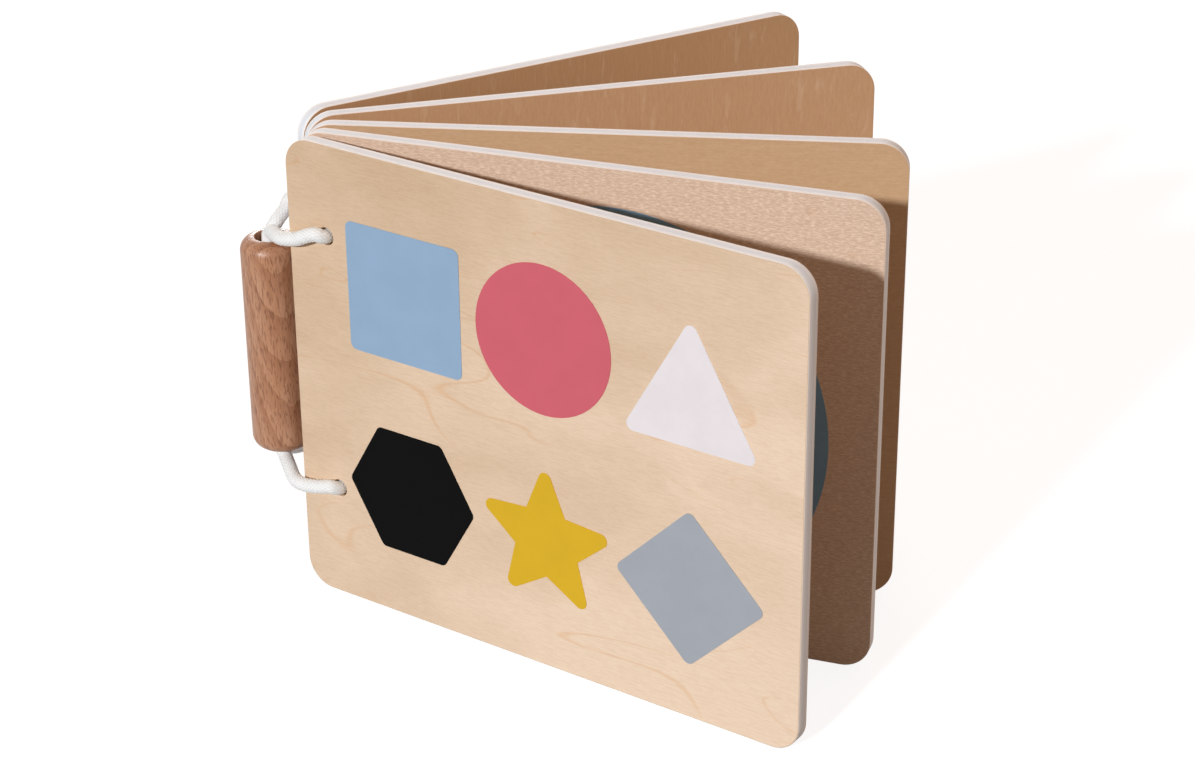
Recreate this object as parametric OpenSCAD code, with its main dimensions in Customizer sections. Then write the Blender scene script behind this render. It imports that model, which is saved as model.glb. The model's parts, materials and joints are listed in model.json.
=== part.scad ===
// A toddler's wooden book: five plywood boards and a turned handle, strung on one cord.
// The origin is the middle of page 2's lower edge, +X runs along page 2 away from the
// spine, the front cover lies towards -Y and +Z is up. The book stands fanned open.

/* [Boards] */
// Width of every board, from its spine edge to its fore edge
board_w = 160; // [154:1:220]
// Height of every board
board_h = 134; // [128:1:190]
// Thickness of the plywood
board_t = 4; // [3.4:0.2:4.6]
// Radius of the rounded corners
corner_r = 8; // [3:1:20]
// Play between two neighbouring boards at the spine
board_gap = 0.5; // [0.4:0.1:1]

/* [Fan as it stands] */
// Opening between the front cover and page 1, in degrees
open_front = 15; // [6:1:28]
// Opening between page 1 and page 2, in degrees
open_page_1 = 13; // [6:1:28]
// Opening between page 2 and page 3, in degrees
open_page_3 = 21; // [6:1:28]
// Opening between page 3 and the back cover, in degrees
open_back = 16; // [6:1:28]

/* [Cord and its holes] */
// Thickness of the braided cord
cord_d = 4; // [2.6:0.2:4.2]
// Diameter of the cord holes in the boards
hole_d = 5; // [4.8:0.1:6]
// Distance of the holes from the spine edge
hole_inset = 12.5; // [10:0.5:15]
// Height of the lower hole above the lower edge
hole_low = 33; // [28:1:40]
// Distance from the lower hole to the upper one
hole_spacing = 75; // [72:1:80]

/* [Handle] */
// Diameter of the turned handle
handle_d = 17; // [15:0.5:18]
// Length of the handle
handle_len = 63; // [56:1:66]
// Radius of its rounded ends
handle_round = 3.8; // [1:0.1:4]
// How far it hangs below the middle of the two holes
handle_drop = 1.3; // [0:0.1:3]
// Play of the cord's two strands in the bore
bore_play = 0.7; // [0.6:0.1:1.2]
// Clear space between page 2's spine edge and the handle
handle_gap = 2.3; // [2:0.1:4]

/* [Print] */
// Thickness of the printed colour
ink_t = 0.15; // [0.1:0.05:0.25]
// Size of the printed shapes on the cover
shape_size = 42; // [26:1:44]
// Rounding of the shapes' corners
shape_round = 2; // [0.5:0.5:4]
// Distance from the spine edge to the first column of shapes
column_first = 38; // [37:1:40]
// Distance between the three columns
column_step = 44.5; // [44:0.5:46]
// Distance between the two rows, which lie evenly above and below the cover's middle
row_step = 58; // [46:1:60]
// Diameter of the disc printed on page 1
disc_d = 119; // [60:1:120]
// Distance from the spine edge to the disc's centre
disc_inset = 87.5; // [80:0.5:92]
// How far the disc's centre lies below the middle of page 1
disc_drop = 3; // [0:0.5:4]

/* [Hidden] */
$fn = 96;

function turn(p, a) = [p.x * cos(a) - p.y * sin(a), p.x * sin(a) + p.y * cos(a)];
function unit(v) = v / norm(v);

// The boards are counted from the front cover. Each one turns about a pivot in the
// middle of the gap to its neighbour on page 2's side, at the spine edge.
board_angle = [-open_front - open_page_1, -open_page_1, 0, open_page_3, open_page_3 + open_back];
pitch = board_t + board_gap;
half_gap = board_gap / 2;
spine_x = -board_w / 2;
pivot_1 = [spine_x, -pitch / 2];
pivot_0 = pivot_1 + turn([0, -pitch], board_angle[1]);
pivot_3 = [spine_x, pitch / 2];
pivot_4 = pivot_3 + turn([0, pitch], board_angle[3]);
board_corner = [pivot_0 + turn([0, -half_gap - board_t], board_angle[0]),
                pivot_1 + turn([0, -half_gap - board_t], board_angle[1]),
                [spine_x, -board_t / 2],
                pivot_3 + turn([0, half_gap], board_angle[3]),
                pivot_4 + turn([0, half_gap], board_angle[4])];
front = 0;
back = 4;

// A board's own frame has x from its spine edge, y through it from its front and z up.
module on_board(i) {
    translate([board_corner[i].x, board_corner[i].y, 0])
        rotate(board_angle[i])
            children();
}

function at_board(i, p) =
    let (q = board_corner[i] + turn([p.x, p.y], board_angle[i]))
    [q.x, q.y, p.z];

hole_high = hole_low + hole_spacing;
handle_r = handle_d / 2;
handle_x = spine_x - handle_gap - handle_r;
bore_d = 2 * cord_d + bore_play;
mouth_low = hole_low + hole_spacing / 2 - handle_drop - handle_len / 2;
mouth_high = mouth_low + handle_len;

// A flat shape of width and height, stood upright, with its thickness towards -Y
module upright(depth) {
    rotate([90, 0, 0])
        linear_extrude(depth)
            children();
}

module rounded_sheet(w, h, r) {
    translate([r, 0])
        square([w - 2 * r, h]);
    translate([0, r])
        square([w, h - 2 * r]);
    for (x = [r, w - r], y = [r, h - r])
        translate([x, y])
            circle(r);
}

module board(i) {
    on_board(i)
        translate([0, board_t, 0])
            upright(board_t)
                difference() {
                    rounded_sheet(board_w, board_h, corner_r);
                    for (z = [hole_low, hole_high])
                        translate([hole_inset, z])
                            circle(d = hole_d);
                }
}

module front_cover() {
    color("#E7CAAB") board(front);
}

module page_1() {
    color("#D8C3B2") board(1);
}

module page_2() {
    color("#D8BC98") board(2);
}

module page_3() {
    color("#CDA67A") board(3);
}

module back_cover() {
    color("#C79D72") board(back);
}

// Right half of the handle's section, from its lower end up
module handle_section() {
    bore_r = bore_d / 2;
    flat_r = handle_r - handle_round;
    translate([bore_r, handle_round])
        square([handle_r - bore_r, handle_len - 2 * handle_round]);
    intersection() {
        union() {
            for (y = [handle_round, handle_len - handle_round])
                translate([flat_r, y])
                    circle(handle_round);
            square([flat_r, handle_len]);
        }
        translate([bore_r, 0])
            square([handle_r - bore_r, handle_len]);
    }
}

module handle() {
    color("#AD7E63")
        translate([handle_x, 0, mouth_low])
            rotate_extrude()
                handle_section();
}

// The cord is one closed loop: up the handle's bore, over its upper mouth to the front
// cover, back through the upper holes, round the back cover and down the bore again,
// then forward through the lower holes. Each point of the route has been chosen by hand
// as [place, x, y, z], where the place is a board or the handle and gives the origin of
// x and y: a board's own frame, or the handle's axis.
on_handle = 5;
cord_r = cord_d / 2;
strand_y = cord_r + 0.15;
rim = hole_inset - hole_d / 2;
to_cover = 1.6 * pitch;

function bore_run(y, ends) =
    [for (k = [0:6]) [on_handle, 0, y, ends[0] + (ends[1] - ends[0]) * k / 6]];

function through(i, z) = [for (y = [0.3, board_t - 0.3]) [i, hole_inset, y, z]];

// Over a cover's outer face: x is from the spine edge, y is out from the face
function over_cover(i, points) =
    [for (p = points) [i, p.x, i == front ? -p.y : board_t + p.y, p.z]];

upper_front = concat(
    [[on_handle, 0.3, -2.3, mouth_high + 1.5],
     [on_handle, 1.2, -3.7, mouth_high + 2.8],
     [on_handle, 3.0, -to_cover, mouth_high + 3.8]],
    over_cover(front,
        [[-2.4, 1.6, hole_high - 3.0],
         [0.6, cord_r + 0.4, hole_high - 2.5],
         [4.5, cord_r + 0.4, hole_high - 1.6],
         [rim - 1.2, cord_r + 0.4, hole_high + 0.4],
         [rim + 1.0, cord_r + 0.1, hole_high + 1.0],
         [rim + 2.0, cord_r - 0.7, hole_high + 0.5]]));

upper_back = concat(
    over_cover(back,
        [[rim + 2.0, cord_r - 0.8, hole_high],
         [rim + 1.0, cord_r + 0.1, hole_high + 0.2],
         [rim - 1.2, cord_r + 0.4, hole_high + 0.5],
         [4.5, cord_r + 0.4, hole_high + 0.8],
         [0.6, cord_r + 0.4, hole_high + 0.6],
         [-2.4, 1.8, hole_high - 0.4]]),
    [[on_handle, 2.9, to_cover, mouth_high + 5.2],
     [on_handle, 1.3, 3.7, mouth_high + 3.2],
     [on_handle, 0.3, 2.2, mouth_high + 1.5]]);

lower_back = concat(
    [[on_handle, 0.4, 2.4, mouth_low - 1.6],
     [on_handle, 1.5, 4.0, mouth_low - 3.2],
     [on_handle, 2.9, to_cover, mouth_low - 4.4]],
    over_cover(back,
        [[-2.4, 1.8, hole_low - 0.6],
         [0.6, cord_r + 0.4, hole_low - 0.9],
         [4.5, cord_r + 0.4, hole_low - 0.8],
         [rim - 1.2, cord_r + 0.4, hole_low - 0.4],
         [rim + 1.0, cord_r + 0.1, hole_low - 0.1],
         [rim + 2.0, cord_r - 0.8, hole_low]]));

lower_front = concat(
    over_cover(front,
        [[rim + 2.0, cord_r - 0.7, hole_low + 0.5],
         [rim + 1.0, cord_r + 0.1, hole_low + 0.9],
         [rim - 1.2, cord_r + 0.4, hole_low + 0.4],
         [4.5, cord_r + 0.4, hole_low - 0.7],
         [0.6, cord_r + 0.4, hole_low - 0.9],
         [-2.4, 1.6, hole_low - 0.4]]),
    [[on_handle, 3.0, -to_cover, mouth_low - 3.6],
     [on_handle, 1.3, -3.8, mouth_low - 2.6],
     [on_handle, 0.4, -2.4, mouth_low - 1.4]]);

cord_points = concat(
    bore_run(-strand_y, [mouth_low, mouth_high]),
    upper_front,
    [for (i = [front:back]) each through(i, hole_high)],
    upper_back,
    bore_run(strand_y, [mouth_high, mouth_low]),
    lower_back,
    [for (i = [back:-1:front]) each [for (k = [1, 0]) through(i, hole_low)[k]]],
    lower_front);

route = [for (p = cord_points)
    p[0] == on_handle ? [handle_x + p[1], p[2], p[3]] : at_board(p[0], [p[1], p[2], p[3]])];

// A closed round tube along a loop of points. One side axis is carried from ring to
// ring, and the turn that it has gained at the end is spread over the whole loop.
module closed_tube(points, r, sides) {
    count = len(points);
    tangents = [for (i = [0:count - 1])
        unit(unit(points[(i + 1) % count] - points[i])
             + unit(points[i] - points[(i + count - 1) % count]))];
    axes = carried(tangents, 0, [1, 0, 0]);
    last = levelled(axes[count - 1], tangents[0]);
    gained = atan2(cross(axes[0], last) * tangents[0], axes[0] * last);
    vertices = [for (i = [0:count - 1], j = [0:sides - 1])
        let (a = 360 * j / sides - gained * i / count)
        points[i] + r * (cos(a) * axes[i] + sin(a) * cross(tangents[i], axes[i]))];
    faces = [for (i = [0:count - 1], j = [0:sides - 1])
        let (a = i * sides, b = (i + 1) % count * sides, k = (j + 1) % sides)
        each [[a + j, a + k, b + k], [a + j, b + k, b + j]]];
    polyhedron(vertices, faces);
}

function levelled(v, tangent) = unit(v - (v * tangent) * tangent);

function carried(tangents, i, v) =
    i == len(tangents) ? [] :
    let (w = levelled(v, tangents[i]))
    concat([w], carried(tangents, i + 1, w));

module cord() {
    color("#E8E8E4")
        closed_tube(route, cord_r, 8);
}

// A printed shape lies on a board's front face, centred at x and z.
module print(i, x, z) {
    on_board(i)
        translate([x, 0, z])
            upright(ink_t)
                children();
}

upper_row = board_h / 2 + row_step / 2;
lower_row = board_h / 2 - row_step / 2;

module print_on_cover(column, height) {
    print(front, column_first + column * column_step, height)
        children();
}

// A shape with straight sides and rounded corners, from its corner points
module rounded_polygon(corners) {
    offset(shape_round)
        offset(-shape_round)
            polygon(corners);
}

function regular(count, r, start) =
    [for (i = [0:count - 1]) r * [cos(start + 360 * i / count), sin(start + 360 * i / count)]];

shape_r = shape_size / 2;

module print_square() {
    side = shape_size * 0.88;
    color("#94AEC9")
        print_on_cover(0, upper_row)
            translate([-side / 2, -side / 2])
                rounded_sheet(side, side, shape_round);
}

module print_circle() {
    color("#CF6570")
        print_on_cover(1, upper_row)
            circle(shape_r);
}

module print_triangle() {
    r = shape_size * 0.56;
    color("#E8E0E1")
        print_on_cover(2, upper_row)
            translate([0, -r / 4])
                rounded_polygon(regular(3, r, 90));
}

module print_hexagon() {
    color("#161616")
        print_on_cover(0, lower_row)
            rounded_polygon(regular(6, shape_r, 0));
}

module print_star() {
    outer = regular(5, shape_size * 0.56, 90);
    inner = regular(5, shape_size * 0.25, 126);
    color("#D9AE2C")
        print_on_cover(1, lower_row)
            rounded_polygon([for (i = [0:4]) each [outer[i], inner[i]]]);
}

module print_diamond() {
    color("#A9AEB4")
        print_on_cover(2, lower_row)
            rounded_polygon(regular(4, shape_size * 0.54, 0));
}

module print_disc() {
    color("#7F93A8")
        print(1, disc_inset, board_h / 2 - disc_drop)
            circle(disc_d / 2);
}

front_cover();
page_1();
page_2();
page_3();
back_cover();
handle();
cord();
print_square();
print_circle();
print_triangle();
print_hexagon();
print_star();
print_diamond();
print_disc();
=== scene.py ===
"""A toddler's wooden book: plywood leaves, printed colour, a turned handle and a braided cord."""
import json
import math
from collections import namedtuple
import bmesh
import bpy
from mathutils import Matrix, Vector


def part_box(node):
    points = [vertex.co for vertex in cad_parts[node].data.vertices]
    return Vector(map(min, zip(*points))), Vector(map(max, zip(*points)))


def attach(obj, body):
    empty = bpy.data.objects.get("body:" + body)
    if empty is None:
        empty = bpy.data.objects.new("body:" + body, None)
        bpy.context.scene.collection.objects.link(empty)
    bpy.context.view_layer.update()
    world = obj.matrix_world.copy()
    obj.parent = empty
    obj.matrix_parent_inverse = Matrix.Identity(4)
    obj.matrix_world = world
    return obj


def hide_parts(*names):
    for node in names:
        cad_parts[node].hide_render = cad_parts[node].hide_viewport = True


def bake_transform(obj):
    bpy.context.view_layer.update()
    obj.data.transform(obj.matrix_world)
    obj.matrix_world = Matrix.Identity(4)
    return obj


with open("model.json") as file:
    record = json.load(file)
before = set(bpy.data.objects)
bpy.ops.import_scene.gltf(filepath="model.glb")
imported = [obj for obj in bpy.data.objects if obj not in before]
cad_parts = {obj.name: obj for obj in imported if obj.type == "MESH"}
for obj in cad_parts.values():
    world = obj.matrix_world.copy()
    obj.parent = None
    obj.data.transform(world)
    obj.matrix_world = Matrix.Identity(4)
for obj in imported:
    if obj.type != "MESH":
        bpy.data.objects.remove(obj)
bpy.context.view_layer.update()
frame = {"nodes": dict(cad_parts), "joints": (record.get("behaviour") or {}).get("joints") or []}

bl_info = {
    "name": "Wooden book",
    "version": (1, 0, 0),
    "blender": (4, 5, 0),
    "location": "View3D > Sidebar > Wooden book",
    "description": "Dresses a fanned book of plywood leaves with its print, handle and cord",
    "category": "Add Mesh",
}

MM = 0.001
SAME = 0.01 * MM  # lengths that differ by less are the same

# How finely round shapes are cut: steps in a circle, a rounded corner or a rounded edge
HOLE_STEPS = 40
TURN_STEPS = 96
CORNER_STEPS = 14
HANDLE_END_STEPS = 12
FINE_EDGE_STEPS = 4


def linear(hex_colour):
    """The linear colour of an sRGB hex value."""
    channels = [int(hex_colour[i:i + 2], 16) / 255 for i in (1, 3, 5)]
    return tuple(c / 12.92 if c <= 0.04045 else ((c + 0.055) / 1.055) ** 2.4 for c in channels)


def length(name, description, default_mm):
    """A length property, given in millimetres."""
    return bpy.props.FloatProperty(name=name, description=description, default=default_mm * MM,
                                   min=0, precision=5, unit="LENGTH")


def colour(name, description, default_hex):
    """A colour property, given as an sRGB hex value."""
    return bpy.props.FloatVectorProperty(name=name, description=description, subtype="COLOR",
                                         default=linear(default_hex), min=0, max=1)


def angle(name, description, degrees):
    """An angle property, given in degrees."""
    return bpy.props.FloatProperty(name=name, description=description, unit="ROTATION",
                                   default=math.radians(degrees))


def strength(name, description, default):
    """A property for the strength of a light."""
    return bpy.props.FloatProperty(name=name, description=description, default=default, min=0)


class BookSizes(bpy.types.PropertyGroup):
    """Sizes that the frame doesn't give by itself."""
    corner_radius: length("Corner radius", "Radius of the boards' corners", 8)
    arris: length("Arris", "Radius of the sanded edges of a board", 0.25)
    hole_diameter: length("Hole", "Diameter of the cord holes", 5)
    hole_inset: length("Hole inset", "Distance of the holes from the spine edge", 12.5)
    hole_low: length("Lower hole", "Height of the lower hole", 33)
    hole_high: length("Upper hole", "Height of the upper hole", 108)
    bore: length("Bore", "Diameter of the handle's bore", 8.7)
    handle_round: length("Handle ends", "Radius of the handle's rounded ends", 3.8)
    mouth_round: length("Mouth edge", "Rounding of the bore's edge", 0.28)
    cord: length("Cord", "Thickness of the braided cord", 4)
    braid_relief: length("Braid relief", "Depth of the grooves between the cord's yarns", 0.2)
    braid_pitch: length("Braid pitch", "Length of one crossing of the braid", 1.3)
    cord_step: length("Cord step", "Distance between the cord's rings", 0.15)


class BookColours(bpy.types.PropertyGroup):
    """Colours of the woods, the cord and the print."""
    cover: colour("Cover veneer", "Light birch of the front cover", "#CEB090")
    # The pale tone is the cover's wood with a painted sheen, a reflection of the white floor
    cover_with_sheen: colour("Cover veneer, pale", "Its paler wood, low at the fore edge", "#EBD1B7")
    page_1: colour("Page 1 veneer", "Pinkish birch of page 1", "#D2B59E")
    page_2: colour("Page 2 veneer", "Warmer birch of page 2", "#C4A07B")
    page_3: colour("Page 3 veneer", "Birch of page 3, its grain upright", "#C29872")
    back: colour("Back veneer", "Birch of the back cover, its grain upright", "#BE956D")
    ply_edge: colour("Ply edge", "Pale sanded edge of the plywood", "#F4F4F5")
    beech: colour("Beech", "Oiled beech of the handle", "#BC8C6C")
    cord: colour("Cord", "White cotton of the cord", "#FAFAF8")
    blue: colour("Blue ink", "Print of the square", "#93ADC7")
    red: colour("Red ink", "Print of the circle", "#CF6570")
    white: colour("White ink", "Print of the triangle", "#E8E0E1")
    black: colour("Black ink", "Print of the hexagon", "#060606")
    yellow: colour("Yellow ink", "Print of the star", "#D9AE2C")
    grey: colour("Grey ink", "Print of the diamond", "#A4A8AF")
    slate: colour("Slate ink", "Print of page 1's disc", "#7A9EBB")


class BookStage(bpy.types.PropertyGroup):
    """Camera and light. A light's side is its turn to the left from straight in front."""
    lens: bpy.props.FloatProperty(name="Lens", description="Focal length on a 36 mm wide sensor",
                                  default=84.35, min=20, unit="CAMERA")
    camera_place: bpy.props.FloatVectorProperty(
        name="Camera", description="Place of the camera", subtype="TRANSLATION", unit="LENGTH",
        default=(0.0803, -0.6819, 0.3965), precision=4)
    heading: angle("Heading", "Turn of the view to the left", 6.9)
    tilt: angle("Tilt", "How far the camera looks down", 26.08)
    roll: angle("Roll", "Clockwise roll of the camera", 0.54)
    key_side: angle("Key side", "Side of the key light", 25)
    key_height: angle("Key height", "Elevation of the key light", 23.5)
    key_spread: angle("Key spread", "Apparent width of the key light", 3.5)
    key_strength: strength("Key strength", "Strength of the key light", 2.98)
    key_tone: colour("Key tone", "Slightly cool tone of the key light", "#F5FAFF")
    back_side: angle("Back side", "Side of the back light", 165)
    back_height: angle("Back height", "Elevation of the back light", 15)
    back_spread: angle("Back spread", "Apparent width of the back light", 20)
    back_strength: strength("Back strength", "Strength of the back light", 1.2)
    back_tone: colour("Back tone", "Neutral tone of the back light", "#FFFFFF")
    sky: strength("Sky", "Soft light from all round", 0.37)
    sky_lean: strength("Backdrop light", "How much more of it comes from the backdrop", 0.4)
    sky_tone: colour("Sky tone", "Warm tone of the soft light", "#FFD9BC")
    floor: colour("Floor", "White paper of the floor", "#EFEFEF")
    floor_dim: colour("Floor, to the book", "The duller floor that lights the book", "#AAAAAA")
    floor_glow: strength("Floor glow", "How brightly the floor shines to the camera", 1.22)


def settings():
    """The three property groups of the scene."""
    scene = bpy.context.scene
    return scene.book_sizes, scene.book_colours, scene.book_stage


# The leaves, from the front cover to the back one. Shut is the lower limit of every
# leaf's hinge, so that limit gives how far the leaf stands open.

joints = {joint["name"]: joint for joint in frame["joints"]}
LEAVES = ("cover_leaf", "page_1_leaf", "page_2_leaf", "page_3_leaf", "back_leaf")
BOARDS = ("front_cover", "page_1", "page_2", "page_3", "back_cover")
HINGES = ("front_cover_turn", "page_1_turn", None, "page_3_turn", "back_cover_turn")
COVER, PAGE_1, PAGE_2, PAGE_3, BACK = range(5)


def opening(hinge):
    """How far a leaf stands open against its neighbour, in degrees."""
    return -joints[hinge]["range_deg"][0]


def pivot(hinge):
    """Place of a leaf's upright hinge."""
    return Vector(joints[hinge]["pos_m"][:2])


BOARD_LOW, BOARD_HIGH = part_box("page_2")
BOARD_SIZE = BOARD_HIGH - BOARD_LOW
THICK = BOARD_SIZE.y
HALF_GAP = ((pivot("page_3_turn") - pivot("page_1_turn")).length - THICK) / 2
ANGLES = (-opening("front_cover_turn") - opening("page_1_turn"), -opening("page_1_turn"), 0,
          opening("page_3_turn"), opening("page_3_turn") + opening("back_cover_turn"))


def leaf_matrix(index):
    """A board's own frame: x from its spine edge, y through it from its front, z up."""
    turn = Matrix.Rotation(math.radians(ANGLES[index]), 4, "Z")
    if index == PAGE_2:
        return Matrix.Translation((BOARD_LOW.x, BOARD_LOW.y, 0))
    place = pivot(HINGES[index]).to_3d()
    y = -HALF_GAP - THICK if index < PAGE_2 else HALF_GAP
    return Matrix.Translation(place) @ turn @ Matrix.Translation((0, y, 0))


# Materials

def rgba(rgb):
    """A colour with full alpha."""
    return (*rgb, 1)


def scaled(rgb, factor):
    """A lighter or darker tone of a colour, by one factor or one for each channel."""
    factors = factor if isinstance(factor, tuple) else (factor,) * 3
    return rgba(min(1, c * f) for c, f in zip(rgb, factors))


# What the figure and the fibres leave of the birch's colour, and what painted glints on its
# flecks and its pale wisps add to it. Then what rings, fibres and rays leave of the beech's
# colour.
BIRCH_FIGURE = rgba(linear("#F7E7D4"))
BIRCH_FIBRE = rgba(linear("#EFE7DE"))
PAINTED_GLINT = rgba(linear("#65655E"))
WISP_LIGHT = rgba(linear("#3F4542"))
BEECH_RING = rgba(linear("#DFD0C2"))
BEECH_FIBRE = rgba(linear("#EADFD7"))
BEECH_RAY = rgba(linear("#AE9A8C"))

# The colour inputs of a Mix node
MIX_BASE, MIX_TINT = 6, 7


def add_node(tree, kind, inputs, **attributes):
    """Adds a node and sets its attributes. Each input is set to a value, or linked to a
    socket or to another node's first output in use."""
    node = tree.nodes.new(kind)
    for key, value in attributes.items():
        setattr(node, key, value)
    for key, value in inputs.items():
        if isinstance(value, bpy.types.Node):
            value = next(output for output in value.outputs if output.enabled)
        if isinstance(value, bpy.types.NodeSocket):
            tree.links.new(value, node.inputs[key])
        else:
            node.inputs[key].default_value = value
    return node


def emptied_tree(owner):
    """The node tree of a new material or world, with nothing in it."""
    owner.use_nodes = True
    owner.node_tree.nodes.clear()
    return owner.node_tree


def pattern(tree, place, sizes_mm, shift, detail, roughness=0.5, distortion=0, unit=MM):
    """A cloudy pattern between 0 and 1, whose spots are about the given sizes long."""
    stretched = add_node(tree, "ShaderNodeMapping",
                         {"Vector": place, "Location": shift,
                          "Scale": [1 / (size * unit) for size in sizes_mm]})
    return add_node(tree, "ShaderNodeTexNoise",
                    {"Vector": stretched, "Scale": 1, "Detail": detail,
                     "Roughness": roughness, "Distortion": distortion})


def tinted(tree, base, tint, value, low, high, most=1, blend="MIX"):
    """Lays a tint over a base: none where the value is low, and the most where it is high."""
    amount = add_node(tree, "ShaderNodeMapRange",
                      {"Value": value, "From Min": low, "From Max": high, "To Max": most},
                      interpolation_type="SMOOTHSTEP")
    return add_node(tree, "ShaderNodeMix",
                    {"Factor": amount, MIX_BASE: base, MIX_TINT: tint},
                    data_type="RGBA", blend_type=blend)


def surfaced(tree, look, height, strength, depth_mm):
    """Ends a material with its shader, which has a pattern's height as a fine relief."""
    relief = add_node(tree, "ShaderNodeBump",
                      {"Height": height, "Strength": strength, "Distance": depth_mm * MM})
    shader = add_node(tree, "ShaderNodeBsdfPrincipled", {**look, "Normal": relief})
    add_node(tree, "ShaderNodeOutputMaterial", {"Surface": shader})


def object_place(tree, shift, rotation=(0, 0, 0)):
    """Object coordinates, turned and then shifted."""
    place = add_node(tree, "ShaderNodeTexCoord", {}).outputs["Object"]
    return add_node(tree, "ShaderNodeMapping",
                    {"Vector": place, "Location": shift, "Rotation": rotation})


def board_place(tree, index):
    """A board's own frame, from object coordinates."""
    inverse = leaf_matrix(index).inverted()
    return object_place(tree, inverse.translation, inverse.to_euler())


def birch_veneer(name, index, tones, upright_grain, painted_sparkle, lines, wisps):
    """Rotary-cut birch veneer under a satin lacquer: pale and even, with hair-fine wavy fibres, a
    few thin darker figure lines, short flecks with painted glints and pale wisps. The painted
    sparkle, lines and wisps say how much of each there is. The fibres, 0.1 mm wide on the real
    veneer, are drawn twice as wide so that they show. The second tone is the wood's tone with a
    painted sheen, a reflection of the white floor, which is strongest low at the fore edge."""
    material = bpy.data.materials.new(name)
    tree = emptied_tree(material)
    own = board_place(tree, index)
    place = own
    if upright_grain:
        place = add_node(tree, "ShaderNodeMapping",
                         {"Vector": own, "Rotation": (0, math.radians(90), 0)})
    seed = (7.3 * index, 0, 3.1 * index)
    cloud = pattern(tree, place, (60, 40, 30), seed, 3, 0.55, 0.4)
    figure = pattern(tree, place, (100, 40, 22), seed, 1, 0.5, 0.7)
    fibre = pattern(tree, place, (5, 5, 0.5), seed, 4, 0.75, 0.4)
    painted_glint_fleck = pattern(tree, place, (1.5, 3, 0.28), seed, 2, 0.6, 0.3)

    # Painted sheen: a reflection of the white floor makes the wood paler towards the fore edge
    # and the bottom, and a slow cloud varies it unevenly
    painted_sheen_slope = add_node(tree, "ShaderNodeVectorMath",
                     {0: own, 1: (0.6 / BOARD_SIZE.x, 0, -0.55 / BOARD_SIZE.z)},
                     operation="DOT_PRODUCT")
    drift = add_node(tree, "ShaderNodeMapRange",
                     {"Value": cloud, "From Min": 0.3, "From Max": 0.7,
                      "To Min": 0.33, "To Max": 0.83}, interpolation_type="SMOOTHSTEP")
    tone_and_painted_sheen = add_node(tree, "ShaderNodeMath", {0: painted_sheen_slope, 1: drift}, operation="ADD")
    base = add_node(tree, "ShaderNodeMix",
                    {"Factor": tone_and_painted_sheen, MIX_BASE: rgba(tones[0]), MIX_TINT: rgba(tones[1])},
                    data_type="RGBA")

    # The figure lines are contours of a slow pattern, and fade out here and there
    contour = 1 / 9
    contours = add_node(tree, "ShaderNodeMath", {0: figure, 1: contour}, operation="PINGPONG")
    fading = add_node(tree, "ShaderNodeMapRange",
                      {"Value": cloud, "From Min": 0.42, "From Max": 0.6, "To Max": lines},
                      interpolation_type="SMOOTHSTEP")
    base = tinted(tree, base, BIRCH_FIGURE, contours, 0.93 * contour, contour, fading,
                  "MULTIPLY")
    base = tinted(tree, base, BIRCH_FIBRE, fibre, 0.42, 0.62, 0.4 + 0.2 * painted_sparkle, "MULTIPLY")
    # Painted glints: a light colour added on the flecks, as if their fibres caught the light
    base = tinted(tree, base, PAINTED_GLINT, painted_glint_fleck, 0.46, 0.6, painted_sparkle, "ADD")
    if wisps:
        wisp = pattern(tree, place, (20, 20, 4), (3, 1, 8), 4, 0.6, 1.4)
        base = tinted(tree, base, WISP_LIGHT, wisp, 0.56, 0.7, wisps, "ADD")
    gloss = add_node(tree, "ShaderNodeMapRange",
                     {"Value": fibre, "From Min": 0.3, "From Max": 0.7,
                      "To Min": 0.45, "To Max": 0.6}, interpolation_type="SMOOTHSTEP")
    height = add_node(tree, "ShaderNodeMath", {0: painted_glint_fleck, 1: 0.6, 2: fibre},
                      operation="MULTIPLY_ADD")
    surfaced(tree, {"Base Color": base, "Roughness": gloss, "IOR": 1.46,
                    "Specular IOR Level": 0.35}, height, 0.3, 0.05)
    return material


def plywood_edge(name, index, tone, veneer):
    """Sanded edge of thin birch plywood: pale and chalky. The middle one of its three plies
    is cooler, the glue lines are faint, and the arris is as warm as the veneer."""
    material = bpy.data.materials.new(name)
    tree = emptied_tree(material)
    place = board_place(tree, index)
    depth = add_node(tree, "ShaderNodeSeparateXYZ", {"Vector": place}).outputs["Y"]
    half, ply = THICK / 2, THICK / 6
    offset = add_node(tree, "ShaderNodeMath", {0: depth, 1: half}, operation="SUBTRACT")
    from_middle = add_node(tree, "ShaderNodeMath", {0: offset}, operation="ABSOLUTE")
    offset = add_node(tree, "ShaderNodeMath", {0: from_middle, 1: ply}, operation="SUBTRACT")
    from_glue = add_node(tree, "ShaderNodeMath", {0: offset}, operation="ABSOLUTE")
    wear = pattern(tree, place, (6, 0.4, 6), (2, 2, index), 4, 0.65)
    base = tinted(tree, rgba(tone), scaled(tone, (0.88, 0.91, 0.96)), from_middle,
                  ply + 0.1 * MM, ply - 0.1 * MM)
    base = tinted(tree, base, scaled(tone, (0.78, 0.75, 0.72)), from_glue,
                  0.28 * MM, 0.05 * MM, 0.3)
    base = tinted(tree, base, scaled(tone, (0.86, 0.84, 0.82)), wear, 0.4, 0.75, 0.4)
    base = tinted(tree, base, scaled(tone, (1, 0.93, 0.87)), from_middle,
                  half - 0.5 * MM, half - 0.2 * MM)
    base = tinted(tree, base, rgba(veneer), from_middle, half - 0.1 * MM, half - 0.03 * MM)
    surfaced(tree, {"Base Color": base, "Roughness": 0.72, "Specular IOR Level": 0.3},
             wear, 0.3, 0.05)
    return material


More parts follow.
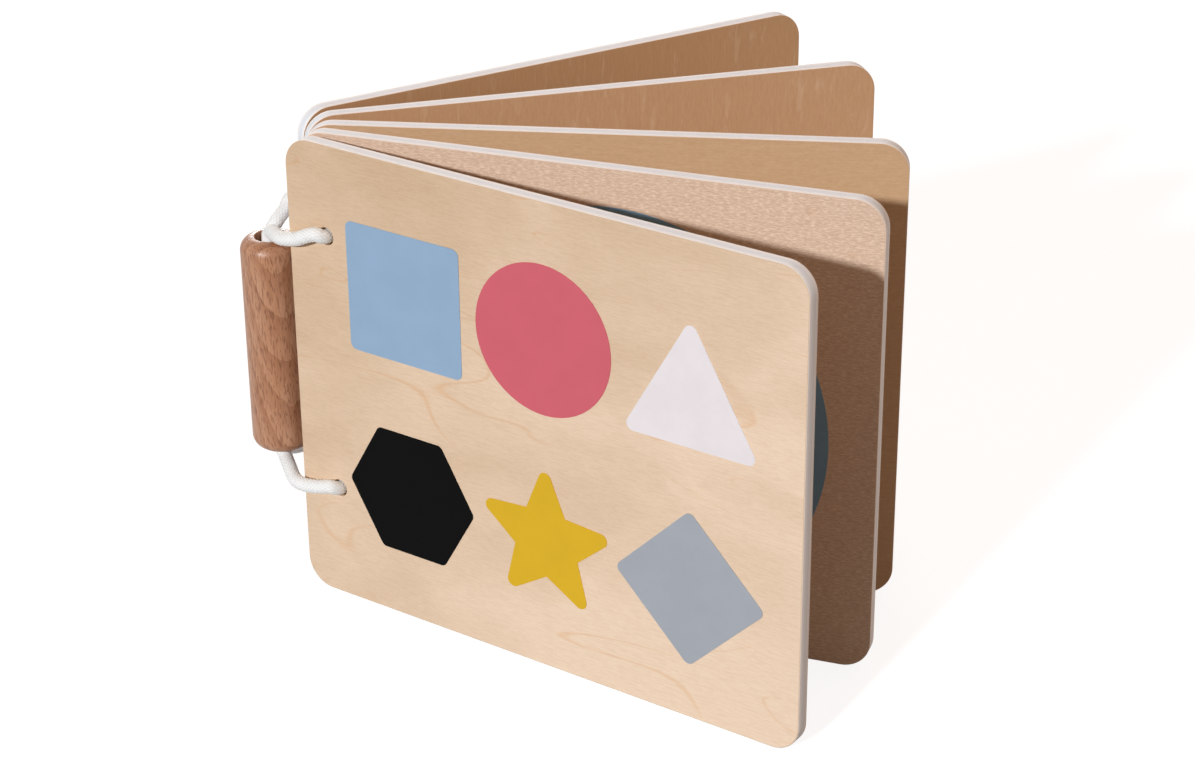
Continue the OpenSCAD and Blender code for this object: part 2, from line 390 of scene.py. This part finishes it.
def screen_print(name, index, tone):
    """Matt screen-printing ink on veneer: flat and opaque, with the wood's fibres just
    felt through it."""
    material = bpy.data.materials.new(name)
    tree = emptied_tree(material)
    place = board_place(tree, index)
    fibre = pattern(tree, place, (9, 5, 0.5), (4, 4, 4), 4, 0.6)
    cloud = pattern(tree, place, (12, 12, 12), (1, 6, 2), 3, 0.6)
    base = tinted(tree, scaled(tone, 0.98), scaled(tone, 1.02), cloud, 0.35, 0.65)
    base = tinted(tree, base, scaled(tone, 0.94), fibre, 0.55, 0.75, 0.3)
    surfaced(tree, {"Base Color": base, "Roughness": 0.7, "Specular IOR Level": 0.05},
             fibre, 0.2, 0.03)
    return material


def oiled_beech(name, tone, axis):
    """Turned and oiled beech: reddish brown with a soft sheen. Its year rings, about 2.6 mm
    apart, run round a pith behind the dowel and lean against it, which makes arches one
    above another, and its rays are short dark dashes along the grain."""
    material = bpy.data.materials.new(name)
    tree = emptied_tree(material)
    place = object_place(tree, -axis)
    wander = pattern(tree, place, (8, 8, 20), (1, 2, 3), 2)
    pith = add_node(tree, "ShaderNodeMapping",
                    {"Vector": place, "Rotation": (math.radians(13), 0, 0),
                     "Location": (12 * MM, -22 * MM, 0)})
    flat = add_node(tree, "ShaderNodeVectorMath", {0: pith, 1: (1, 1, 0)},
                    operation="MULTIPLY")
    away = add_node(tree, "ShaderNodeVectorMath", {0: flat}, operation="LENGTH")
    waves = add_node(tree, "ShaderNodeMath", {0: wander, 1: 0.8}, operation="MULTIPLY")
    years = add_node(tree, "ShaderNodeMath", {0: away, 1: 1 / (2.6 * MM), 2: waves},
                     operation="MULTIPLY_ADD")
    ring = add_node(tree, "ShaderNodeMath", {0: years}, operation="FRACT")
    shades = pattern(tree, place, (14, 14, 40), (2, 7, 1), 2)
    fibre = pattern(tree, place, (0.7, 0.7, 6), (4, 5, 6), 3, 0.65, 0.2)
    slant = add_node(tree, "ShaderNodeMapping",
                     {"Vector": place, "Rotation": (math.radians(3), math.radians(6), 0)})
    ray = pattern(tree, slant, (0.42, 0.42, 2.8), (7, 8, 9), 1)
    rays = add_node(tree, "ShaderNodeMapRange",
                    {"Value": ray, "From Min": 0.53, "From Max": 0.64, "To Max": 0.6},
                    interpolation_type="SMOOTHSTEP")
    base = tinted(tree, scaled(tone, (1.06, 1.1, 1.14)), scaled(tone, (0.92, 0.84, 0.76)),
                  shades, 0.35, 0.65)
    base = tinted(tree, base, BEECH_RING, ring, 0.1, 1, 0.8, "MULTIPLY")
    base = tinted(tree, base, BEECH_FIBRE, fibre, 0.35, 0.65, 0.6, "MULTIPLY")
    base = add_node(tree, "ShaderNodeMix",
                    {"Factor": rays, MIX_BASE: base, MIX_TINT: BEECH_RAY},
                    data_type="RGBA", blend_type="MULTIPLY")
    gloss = add_node(tree, "ShaderNodeMapRange",
                     {"Value": fibre, "From Min": 0.3, "From Max": 0.7,
                      "To Min": 0.34, "To Max": 0.46}, interpolation_type="SMOOTHSTEP")
    height = add_node(tree, "ShaderNodeMath", {0: fibre, 1: rays}, operation="SUBTRACT")
    surfaced(tree, {"Base Color": base, "Roughness": gloss, "IOR": 1.5}, height, 0.35, 0.08)
    return material


def cotton_braid(name, tone):
    """Bleached cotton cord: soft white, dull, with hair-fine threads, and painted shade in the
    grooves between its yarns. The map's u runs round the cord and its v along it, both in
    millimetres."""
    material = bpy.data.materials.new(name)
    tree = emptied_tree(material)
    place = add_node(tree, "ShaderNodeUVMap", {}, uv_map="cord")
    thread = pattern(tree, place, (0.25, 0.625, 1), (0, 0, 0), 3, 0.7, unit=1)
    cloud = pattern(tree, place, (3.33, 4, 1), (0, 0, 0), 3, 0.6, unit=1)
    groove = add_node(tree, "ShaderNodeAttribute", {}, attribute_name="groove").outputs["Fac"]
    # Painted shade: the grooves between the yarns are darkened towards a grey tone
    painted_groove_shade = add_node(tree, "ShaderNodeMath", {0: groove, 1: 0.6}, operation="MULTIPLY")
    base = tinted(tree, rgba(tone), scaled(tone, (0.93, 0.93, 0.92)), cloud, 0.3, 0.7, 0.5)
    base = tinted(tree, base, scaled(tone, (0.88, 0.87, 0.85)), thread, 0.45, 0.75, 0.4)
    base = add_node(tree, "ShaderNodeMix",
                    {"Factor": painted_groove_shade, MIX_BASE: base,
                     MIX_TINT: scaled(tone, (0.6, 0.59, 0.58))}, data_type="RGBA")
    surfaced(tree, {"Base Color": base, "Roughness": 0.85, "Sheen Weight": 0.25,
                    "Sheen Roughness": 0.5}, thread, 0.5, 0.08)
    return material


# Pieces

def finished(bm, name, materials, body, node):
    """Makes an object of a bmesh and ties it to the frame, to a body if one is named."""
    mesh = bpy.data.meshes.new(name)
    bm.to_mesh(mesh)
    bm.free()
    for material in materials:
        mesh.materials.append(material)
    piece = bpy.data.objects.new(name, mesh)
    bpy.context.scene.collection.objects.link(piece)
    if body:
        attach(piece, body)
    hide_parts(node)
    return piece


def is_face(face):
    """Whether a face belongs to a board's front or back, in the board's own frame."""
    return abs(face.normal.y) > 0.999


def is_hole(face, sizes):
    """Whether a face belongs to a cord hole, in the board's own frame."""
    place = face.calc_center_median()
    reach = 0.75 * sizes.hole_diameter
    return any(math.hypot(place.x - sizes.hole_inset, place.z - z) < reach
               for z in (sizes.hole_low, sizes.hole_high))


def board_shape(sizes):
    """A board in its own frame: rounded corners, two holes and sanded edges."""
    bm = bmesh.new()
    bmesh.ops.create_grid(bm, x_segments=1, y_segments=1, size=0.5)
    bmesh.ops.scale(bm, vec=(BOARD_SIZE.x, BOARD_SIZE.z, 1), verts=bm.verts)
    bmesh.ops.translate(bm, vec=(BOARD_SIZE.x / 2, BOARD_SIZE.z / 2, 0), verts=bm.verts)
    bmesh.ops.bevel(bm, geom=bm.verts[:], offset=sizes.corner_radius, segments=CORNER_STEPS,
                    profile=0.5, affect="VERTICES", material=-1)
    bmesh.ops.delete(bm, geom=bm.faces[:], context="FACES_ONLY")
    for z in (sizes.hole_low, sizes.hole_high):
        bmesh.ops.create_circle(bm, segments=HOLE_STEPS, radius=sizes.hole_diameter / 2,
                                matrix=Matrix.Translation((sizes.hole_inset, z, 0)))
    bmesh.ops.triangle_fill(bm, use_beauty=True, edges=bm.edges[:])
    bmesh.ops.rotate(bm, matrix=Matrix.Rotation(math.radians(90), 3, "X"), verts=bm.verts)
    extruded = bmesh.ops.extrude_face_region(bm, geom=bm.faces[:])["geom"]
    bmesh.ops.translate(bm, vec=(0, THICK, 0),
                        verts=[v for v in extruded if isinstance(v, bmesh.types.BMVert)])
    bmesh.ops.recalc_face_normals(bm, faces=bm.faces[:])
    rims = [e for e in bm.edges if len({is_face(f) for f in e.link_faces}) == 2]
    bmesh.ops.bevel(bm, geom=rims, offset=sizes.arris, segments=FINE_EDGE_STEPS, profile=0.5,
                    affect="EDGES", clamp_overlap=False, material=-1)
    for face in bm.faces:
        face.material_index = 0 if is_face(face) or is_hole(face, sizes) else 1
        face.smooth = not is_face(face)
    return bm


class BOOK_OT_boards(bpy.types.Operator):
    """Makes the five plywood boards"""
    bl_idname = "book.boards"
    bl_label = "Boards"

    def execute(self, context):
        sizes, colours, _ = settings()
        # Each board's tones (the second with a painted sheen), whether its grain is upright, its
        # painted sparkle, lines and wisps
        finishes = (((colours.cover, colours.cover_with_sheen), False, 0.15, 0.7, 0),
                    ((colours.page_1,) * 2, False, 1, 0.2, 0),
                    ((colours.page_2,) * 2, False, 0.2, 0.15, 0.3),
                    ((colours.page_3,) * 2, True, 0.1, 0.15, 1),
                    ((colours.back,) * 2, True, 0.05, 0.15, 1))
        for index, (tones, upright_grain, painted_sparkle, lines, wisps) in enumerate(finishes):
            board = BOARDS[index]
            bm = board_shape(sizes)
            bmesh.ops.transform(bm, matrix=leaf_matrix(index), verts=bm.verts)
            finished(bm, board + "_plywood",
                     [birch_veneer("Birch veneer, " + board, index, tones, upright_grain,
                                   painted_sparkle, lines, wisps),
                      plywood_edge("Plywood edge, " + board, index, colours.ply_edge, tones[0])],
                     LEAVES[index], board)
        return {"FINISHED"}


class BOOK_OT_print(bpy.types.Operator):
    """Prints the shapes on the cover and the disc on page 1"""
    bl_idname = "book.print"
    bl_label = "Print"

    def execute(self, context):
        colours = settings()[1]
        inks = (("print_square", COVER, colours.blue), ("print_circle", COVER, colours.red),
                ("print_triangle", COVER, colours.white), ("print_hexagon", COVER, colours.black),
                ("print_star", COVER, colours.yellow), ("print_diamond", COVER, colours.grey),
                ("print_disc", PAGE_1, colours.slate))
        for node, index, tone in inks:
            mesh = frame["nodes"][node].data
            mesh.materials.clear()
            mesh.materials.append(screen_print("Screen print, " + node, index, tone))
        return {"FINISHED"}


class BOOK_OT_handle(bpy.types.Operator):
    """Turns the beech handle"""
    bl_idname = "book.handle"
    bl_label = "Handle"

    def execute(self, context):
        sizes, colours, _ = settings()
        low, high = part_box("handle")
        axis = (low + high) / 2
        outer = (high.x - low.x) / 2
        inner = sizes.bore / 2
        bm = bmesh.new()
        corners = [bm.verts.new((axis.x + r, axis.y, z))
                   for r, z in ((inner, low.z), (outer, low.z), (outer, high.z), (inner, high.z))]
        section = [bm.edges.new((corners[i], corners[(i + 1) % 4])) for i in range(4)]
        bmesh.ops.spin(bm, geom=corners + section, cent=axis, axis=(0, 0, 1), steps=TURN_STEPS,
                       angle=math.radians(360), use_merge=True)
        bmesh.ops.recalc_face_normals(bm, faces=bm.faces[:])
        for radius, bevel, segments in ((outer, sizes.handle_round, HANDLE_END_STEPS),
                                        (inner, sizes.mouth_round, FINE_EDGE_STEPS)):
            rims = [e for e in bm.edges if on_rim(e, axis, radius, (low.z, high.z))]
            bmesh.ops.bevel(bm, geom=rims, offset=bevel, segments=segments, profile=0.5,
                            affect="EDGES", clamp_overlap=False, material=-1)
        for face in bm.faces:
            face.smooth = True
        finished(bm, "handle_beech", [oiled_beech("Oiled beech", colours.beech, axis)],
                 "grip", "handle")
        return {"FINISHED"}


def on_rim(edge, axis, radius, heights):
    """Whether an edge is part of a circle about the axis at one of the heights."""
    one, other = (vert.co for vert in edge.verts)
    return (all(abs((co - axis).to_2d().length - radius) < SAME for co in (one, other))
            and abs(one.z - other.z) < SAME
            and min(abs(one.z - z) for z in heights) < SAME)


# The cord is one closed loop: up the handle's bore, over its upper mouth to the front cover, back
# through the upper holes, round the back cover and down the bore again, then forward through the
# lower holes. Its points are given in millimetres, as (place, x, y, z): x and y from the handle's
# axis or in a board's own frame, and z from the handle's mouth or from the hole.

HANDLE = "handle"
PITCH = (THICK + 2 * HALF_GAP) / MM  # from one board's face to the next one's
ON_FACE = 2.4  # height of the cord's middle over a cover that it lies on
IN_HOLE = 0.3  # depth of a hole's first and last point
STRAND_PLAY = 0.15 * MM  # half the room between the two strands in the bore
BORE_STEPS = 6


def over_cover(board, points):
    """Points over a cover's outer face: x from the spine edge, y out from the face."""
    return [(board, x, -y if board == COVER else THICK / MM + y, z) for x, y, z in points]


UPPER_FRONT = [(HANDLE, 0.3, -2.3, 1.5), (HANDLE, 1.2, -3.7, 2.8),
               (HANDLE, 3.0, -1.6 * PITCH, 3.8),
               *over_cover(COVER, [(-2.4, 1.6, -3.0), (0.6, ON_FACE, -2.5), (4.5, ON_FACE, -1.6),
                                   (8.8, ON_FACE, 0.4), (11, 2.1, 1), (12, 1.3, 0.5)])]
UPPER_BACK = [*over_cover(BACK, [(12, 1.2, 0), (11, 2.1, 0.2), (8.8, ON_FACE, 0.5),
                                 (4.5, ON_FACE, 0.8), (0.6, ON_FACE, 0.6), (-2.4, 1.8, -0.4)]),
              (HANDLE, 2.9, 1.6 * PITCH, 5.2), (HANDLE, 1.3, 3.7, 3.2), (HANDLE, 0.3, 2.2, 1.5)]
LOWER_BACK = [(HANDLE, 0.4, 2.4, -1.6), (HANDLE, 1.5, 4.0, -3.2),
              (HANDLE, 2.9, 1.6 * PITCH, -4.4),
              *over_cover(BACK, [(-2.4, 1.8, -0.6), (0.6, ON_FACE, -0.9), (4.5, ON_FACE, -0.8),
                                 (8.8, ON_FACE, -0.4), (11, 2.1, -0.1), (12, 1.2, 0)])]
LOWER_FRONT = [*over_cover(COVER, [(12, 1.3, 0.5), (11, 2.1, 0.9), (8.8, ON_FACE, 0.4),
                                   (4.5, ON_FACE, -0.7), (0.6, ON_FACE, -0.9),
                                   (-2.4, 1.6, -0.4)]),
               (HANDLE, 3.0, -1.6 * PITCH, -3.6), (HANDLE, 1.3, -3.8, -2.6),
               (HANDLE, 0.4, -2.4, -1.4)]


def cord_route(sizes):
    """The cord's points in the frame, in metres."""
    low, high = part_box("handle")
    axis = (low + high) / 2
    strand = sizes.cord / 2 + STRAND_PLAY

    def placed(points, hole, mouth):
        """Puts points that are given from a hole or a mouth in the frame."""
        for place, x, y, z in points:
            point = Vector((x, y, z)) * MM
            if place == HANDLE:
                yield Vector((axis.x, axis.y, mouth)) + point
            else:
                yield leaf_matrix(place) @ (point + Vector((0, 0, hole)))

    def bore(side, start, end):
        """Points through the bore, on its front or its back side."""
        return [Vector((axis.x, axis.y + side * strand, start + (end - start) * k / BORE_STEPS))
                for k in range(BORE_STEPS + 1)]

    holes = [(board, sizes.hole_inset / MM, y, 0) for board in range(len(BOARDS))
             for y in (IN_HOLE, THICK / MM - IN_HOLE)]
    return [*bore(-1, low.z, high.z),
            *placed([*UPPER_FRONT, *holes, *UPPER_BACK], sizes.hole_high, high.z),
            *bore(1, high.z, low.z),
            *placed([*LOWER_BACK, *reversed(holes), *LOWER_FRONT], sizes.hole_low, low.z)]


def spline_point(points, station):
    """A point of the closed Catmull-Rom curve; whole stations are the route's points."""
    count = len(points)
    i = math.floor(station)
    t = station - i
    a, b, c, d = (points[(i + k) % count] for k in (-1, 0, 1, 2))
    return 0.5 * (2 * b + (c - a) * t + (2 * a - 5 * b + 4 * c - d) * t * t
                  + (3 * b - a - 3 * c + d) * t ** 3)


Ring = namedtuple("Ring", "station centre side up travelled")


def cord_rings(sizes):
    """Rings along the whole cord, each with its two side axes and the length so far."""
    points = cord_route(sizes)
    count = len(points)
    samples = []
    for i in range(count):
        pieces = max(2, round((points[(i + 1) % count] - points[i]).length / sizes.cord_step))
        pieces += pieces % 2
        samples += [i + k / pieces for k in range(pieces)]
    samples.append(count)
    centres = [spline_point(points, s) for s in samples]
    side = Vector((1, 0, 0))
    travelled = 0
    rings = []
    for k, centre in enumerate(centres):
        tangent = centres[min(k + 1, len(centres) - 1)] - centres[max(k - 1, 0)]
        tangent.normalize()
        side = (side - side.dot(tangent) * tangent).normalized()
        if k:
            travelled += (centre - centres[k - 1]).length
        rings.append(Ring(samples[k], centre, side, tangent.cross(side), travelled))
    return rings


# Each stretch of the cord: its name, its first and last station, and either the one
# leaf that it lies on or the two that it passes between, with the stations at which it
# leaves the first and reaches the second.
STRETCHES = (
    ("bore_front", 0, 6, PAGE_2),
    ("top_front_1", 6, 9.5, PAGE_2, PAGE_1, 6.3, 8.9),
    ("top_front_2", 9.5, 16.5, PAGE_1, COVER, 10.2, 11.6),
    ("top_gap_1", 16.5, 18.5, COVER, PAGE_1, 17, 18),
    ("top_gap_2", 18.5, 20.5, PAGE_1, PAGE_2, 19, 20),
    ("top_gap_3", 20.5, 22.5, PAGE_2, PAGE_3, 21, 22),
    ("top_gap_4", 22.5, 24.5, PAGE_3, BACK, 23, 24),
    ("top_back_2", 24.5, 31.5, BACK, PAGE_3, 29.4, 30.8),
    ("top_back_1", 31.5, 35, PAGE_3, PAGE_2, 32.1, 34.7),
    ("bore_back", 35, 41, PAGE_2),
    ("low_back_1", 41, 44.5, PAGE_2, PAGE_3, 41.3, 43.9),
    ("low_back_2", 44.5, 51.5, PAGE_3, BACK, 45.2, 46.6),
    ("low_gap_4", 51.5, 53.5, BACK, PAGE_3, 52, 53),
    ("low_gap_3", 53.5, 55.5, PAGE_3, PAGE_2, 54, 55),
    ("low_gap_2", 55.5, 57.5, PAGE_2, PAGE_1, 56, 57),
    ("low_gap_1", 57.5, 59.5, PAGE_1, COVER, 58, 59),
    ("low_front_2", 59.5, 66.5, COVER, PAGE_1, 64.4, 65.8),
    ("low_front_1", 66.5, 70, PAGE_1, PAGE_2, 67.1, 69.7),
)
SIDES = 60  # of a ring of the cord
YARNS = 6  # that show round the cord each way


def braid_height(turn, travelled, pitch):
    """Height of the braid's surface, 0 in a groove and 1 on a yarn's back. The powers
    round a yarn's back and make its ends dip less than its sides."""
    lean = math.pi * travelled / pitch
    one, other = math.cos(YARNS * turn + lean), math.cos(YARNS * turn - lean)
    over, under = (one, other) if one * other > 0 else (other, one)
    return abs(over) ** 0.5 * abs(under) ** 0.3


def cord_stretch(rings, sizes):
    """A closed tube along some rings, with the braid's relief in its mesh."""
    bm = bmesh.new()
    groove = bm.verts.layers.float.new("groove")
    # How deep each vertex lies in a groove; the cotton uses it for painted shade
    uv = bm.loops.layers.uv.new("cord")
    radius = sizes.cord / 2
    loops = []
    for ring in rings:
        loop = []
        for k in range(SIDES):
            turn = 2 * math.pi * k / SIDES
            height = braid_height(turn, ring.travelled, sizes.braid_pitch)
            out = radius - sizes.braid_relief * (1 - height)
            away = math.cos(turn) * ring.side + math.sin(turn) * ring.up
            vert = bm.verts.new(ring.centre + out * away)
            vert[groove] = 1 - height
            loop.append(vert)
        loops.append(loop)
    around = 2 * math.pi * radius / MM / SIDES
    for i in range(len(loops) - 1):
        for k in range(SIDES):
            n = (k + 1) % SIDES
            face = bm.faces.new((loops[i][k], loops[i][n], loops[i + 1][n], loops[i + 1][k]))
            face.smooth = True
            for loop, u, v in zip(face.loops, (k, k + 1, k + 1, k), (i, i, i + 1, i + 1)):
                loop[uv].uv = (u * around, rings[v].travelled / MM)
    for loop in (loops[0], loops[-1]):
        bm.faces.new(loop)
    bmesh.ops.recalc_face_normals(bm, faces=bm.faces[:])
    for face in bm.faces:
        if len(face.verts) > 4:
            for edge in face.edges:
                edge.smooth = False
    return bm


class BOOK_OT_cord(bpy.types.Operator):
    """Threads the braided cord in stretches; those that lie on one leaf follow it"""
    bl_idname = "book.cord"
    bl_label = "Cord"

    def execute(self, context):
        sizes, colours, _ = settings()
        points = cord_route(sizes)
        rings = cord_rings(sizes)
        cotton = cotton_braid("Braided cotton", colours.cord)
        for name, start, end, *ties in STRETCHES:
            part = [ring for ring in rings if start <= ring.station <= end]
            body = LEAVES[ties[0]] if len(ties) == 1 else None
            piece = finished(cord_stretch(part, sizes), "cord_" + name, [cotton], body,
                             "cord")
            if len(ties) > 1:
                one, other, leaves_at, reaches_at = ties
                spline_point(points, leaves_at)
                spline_point(points, reaches_at)
                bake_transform(piece)
        return {"FINISHED"}


# Stage

SENSOR_MM = 36
NEAR = 0.01  # where the camera's view starts
FLOOR_RADIUS = 4
FLOOR_STEPS = 64
GLOW_SHARE = 0.72  # of the floor's look is its own glow, and the rest shows the shadow
BACKDROP_SIDE = (0.7, 0.71, 0)  # behind the book and to the right


class BOOK_OT_stage(bpy.types.Operator):
    """Sets the floor, the light and the camera"""
    bl_idname = "book.stage"
    bl_label = "Stage"

    def execute(self, context):
        stage = settings()[2]
        add_floor(stage)
        add_world(stage)
        add_sun("key", stage.key_side, stage.key_height, stage.key_spread, stage.key_strength,
                stage.key_tone)
        add_sun("back_light", stage.back_side, stage.back_height, stage.back_spread,
                stage.back_strength, stage.back_tone)
        add_camera(stage)
        bpy.context.scene.view_settings.view_transform = "Standard"
        return {"FINISHED"}


def backdrop_ray(tree):
    """1 for rays that should see the plain white backdrop."""
    rays = add_node(tree, "ShaderNodeLightPath", {}).outputs
    seen = add_node(tree, "ShaderNodeMath",
                    {0: rays["Is Camera Ray"], 1: rays["Is Glossy Ray"]}, operation="MAXIMUM")
    return add_node(tree, "ShaderNodeMath", {0: seen, 1: rays["Is Transmission Ray"]},
                    operation="MAXIMUM")


def add_floor(stage):
    """A wide white floor that keeps a soft shadow of the book."""
    bm = bmesh.new()
    bmesh.ops.create_circle(bm, cap_ends=True, segments=FLOOR_STEPS, radius=FLOOR_RADIUS)
    mesh = bpy.data.meshes.new("floor")
    bm.to_mesh(mesh)
    bm.free()
    material = bpy.data.materials.new("White paper sweep")
    tree = emptied_tree(material)
    paper = add_node(tree, "ShaderNodeBsdfDiffuse", {"Color": rgba(stage.floor)})
    dim = add_node(tree, "ShaderNodeBsdfDiffuse", {"Color": rgba(stage.floor_dim)})
    glow = add_node(tree, "ShaderNodeEmission", {"Strength": stage.floor_glow})
    seen = add_node(tree, "ShaderNodeMixShader", {0: GLOW_SHARE, 1: paper, 2: glow})
    surface = add_node(tree, "ShaderNodeMixShader", {0: backdrop_ray(tree), 1: dim, 2: seen})
    add_node(tree, "ShaderNodeOutputMaterial", {"Surface": surface})
    mesh.materials.append(material)
    floor = bpy.data.objects.new("floor", mesh)
    bpy.context.scene.collection.objects.link(floor)


def add_world(stage):
    """A white backdrop for the camera. The book gets a weaker light, most of it from the
    backdrop's side, behind and to the right."""
    world = bpy.data.worlds.new("Studio")
    bpy.context.scene.world = world
    tree = emptied_tree(world)
    direction = add_node(tree, "ShaderNodeTexCoord", {}).outputs["Generated"]
    behind = add_node(tree, "ShaderNodeVectorMath", {0: direction, 1: BACKDROP_SIDE},
                      operation="DOT_PRODUCT")
    level = add_node(tree, "ShaderNodeMath", {0: behind, 1: stage.sky_lean, 2: stage.sky},
                     operation="MULTIPLY_ADD")
    soft = add_node(tree, "ShaderNodeBackground",
                    {"Color": rgba(stage.sky_tone), "Strength": level})
    white = add_node(tree, "ShaderNodeBackground", {"Color": (1, 1, 1, 1), "Strength": 1})
    both = add_node(tree, "ShaderNodeMixShader", {0: backdrop_ray(tree), 1: soft, 2: white})
    add_node(tree, "ShaderNodeOutputWorld", {"Surface": both})


def add_sun(name, side, height, spread, strength, tone):
    """A distant lamp that shines on the book from a side and a height."""
    lamp = bpy.data.lights.new(name, "SUN")
    lamp.energy = strength
    lamp.color = tone
    lamp.angle = spread
    sun = bpy.data.objects.new(name, lamp)
    bpy.context.scene.collection.objects.link(sun)
    away = Vector((-math.sin(side) * math.cos(height), -math.cos(side) * math.cos(height),
                   math.sin(height)))
    sun.location = away
    sun.rotation_euler = away.to_track_quat("Z", "Y").to_euler()


def add_camera(stage):
    """The camera, where the photograph was taken from."""
    data = bpy.data.cameras.new("camera")
    data.sensor_width = SENSOR_MM
    data.lens = stage.lens
    data.clip_start = NEAR
    camera = bpy.data.objects.new("camera", data)
    bpy.context.scene.collection.objects.link(camera)
    turned = (Matrix.Rotation(stage.heading, 4, "Z")
              @ Matrix.Rotation(math.radians(90) - stage.tilt, 4, "X")
              @ Matrix.Rotation(-stage.roll, 4, "Z"))
    camera.matrix_world = Matrix.Translation(stage.camera_place) @ turned
    bpy.context.scene.camera = camera


class BOOK_PT_panel(bpy.types.Panel):
    """Lists the book's steps in the sidebar"""
    bl_idname = "BOOK_PT_panel"
    bl_label = "Wooden book"
    bl_space_type = "VIEW_3D"
    bl_region_type = "UI"
    bl_category = "Wooden book"

    def draw(self, context):
        for operator in OPERATORS:
            self.layout.operator(operator.bl_idname)
        for group in settings():
            box = self.layout.box()
            for name in group.__annotations__:
                box.prop(group, name)


GROUPS = {"book_sizes": BookSizes, "book_colours": BookColours, "book_stage": BookStage}
OPERATORS = (BOOK_OT_stage, BOOK_OT_boards, BOOK_OT_print, BOOK_OT_handle, BOOK_OT_cord)


def register():
    for name, group in GROUPS.items():
        bpy.utils.register_class(group)
        setattr(bpy.types.Scene, name, bpy.props.PointerProperty(type=group))
    for operator in (*OPERATORS, BOOK_PT_panel):
        bpy.utils.register_class(operator)


def unregister():
    for operator in reversed((*OPERATORS, BOOK_PT_panel)):
        bpy.utils.unregister_class(operator)
    for name, group in GROUPS.items():
        delattr(bpy.types.Scene, name)
        bpy.utils.unregister_class(group)


def main():
    register()
    bpy.ops.book.stage()
    bpy.ops.book.boards()
    bpy.ops.book.print()
    bpy.ops.book.handle()
    bpy.ops.book.cord()


if __name__ == "__main__":
    main()
